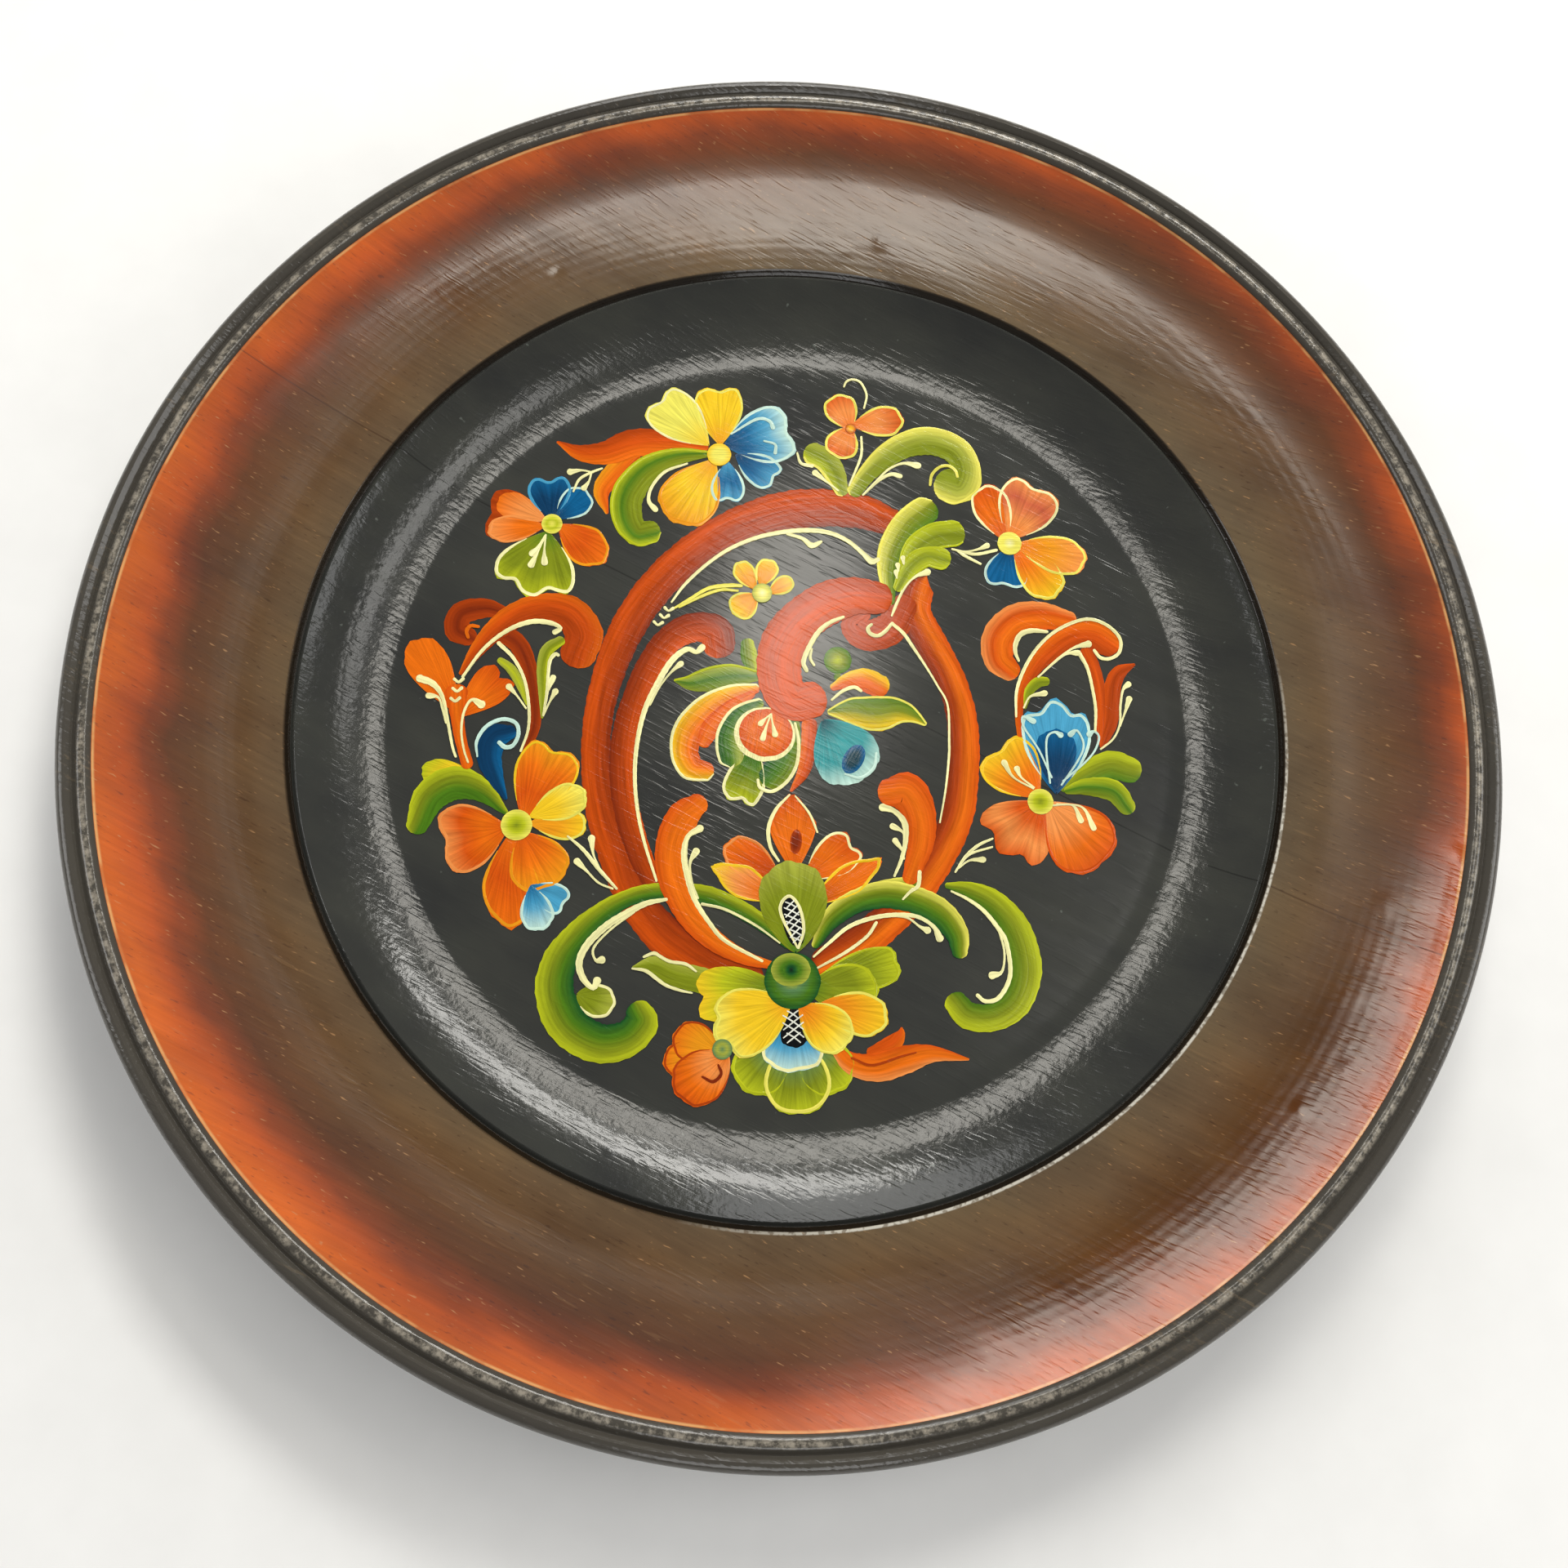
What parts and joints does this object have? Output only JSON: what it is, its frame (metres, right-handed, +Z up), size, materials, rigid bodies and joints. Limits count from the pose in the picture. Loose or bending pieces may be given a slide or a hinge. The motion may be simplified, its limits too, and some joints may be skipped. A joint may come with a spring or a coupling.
{
  "type": "painted wooden plate",
  "caption": "Shallow turned wooden plate with a moulded black edge, a wide orange to brown rim, a black well and painted scroll and flower ornament on its flat floor.",
  "frame": {"origin": "centre of the plane that the foot ring rests on", "axes": "+Z up along the axis the plate was turned about, +Y towards the top of the painted ornament"},
  "size_m": [0.3559, 0.356, 0.0332],
  "materials": {
    "bare_wood": "turned pale hardwood, unpainted, lightly oiled",
    "black_ground": "charcoal black oil paint under satin varnish, wood grain showing through in relief",
    "rim_glaze": "glaze blended from orange at the edge to grey brown at the groove, satin varnish",
    "rust_paint": "rust red oil paint strokes, satin varnish",
    "orange_paint": "orange oil paint strokes with yellow edges, satin varnish",
    "yellow_paint": "yellow and cream oil paint strokes, satin varnish",
    "green_paint": "green oil paint strokes with yellow green edges, satin varnish",
    "blue_paint": "blue and turquoise oil paint strokes with pale outlines, satin varnish"
  },
  "bodies": {
    "root": {"upper_board": "bare_wood", "lower_board": "bare_wood", "edge_coat": "black_ground", "rim_coat": "rim_glaze", "well_coat": "black_ground", "underside_coat": "black_ground", "bell_flower_paint": "blue_paint", "blue_bud_paint": "blue_paint", "centre_scroll_paint": "rust_paint", "crest_blossom_paint": "orange_paint", "crest_flower_paint": "orange_paint", "crest_scroll_paint": "green_paint", "flame_leaf_paint": "orange_paint", "inner_scroll_paint": "rust_paint", "knob_leaves_paint": "green_paint", "left_comma_paint": "orange_paint", "left_flower_paint": "orange_paint", "left_green_scroll_paint": "green_paint", "left_scroll_paint": "rust_paint", "lobed_leaf_paint": "green_paint", "lotus_paint": "orange_paint", "lower_bud_paint": "orange_paint", "middle_flower_paint": "green_paint", "right_comma_paint": "orange_paint", "right_flower_paint": "orange_paint", "right_green_scroll_paint": "green_paint", "right_scroll_paint": "rust_paint", "ring_scroll_paint": "rust_paint", "small_flower_paint": "yellow_paint", "upper_left_flower_paint": "orange_paint", "upper_right_flower_paint": "orange_paint"}
  },
  "joints": []
}
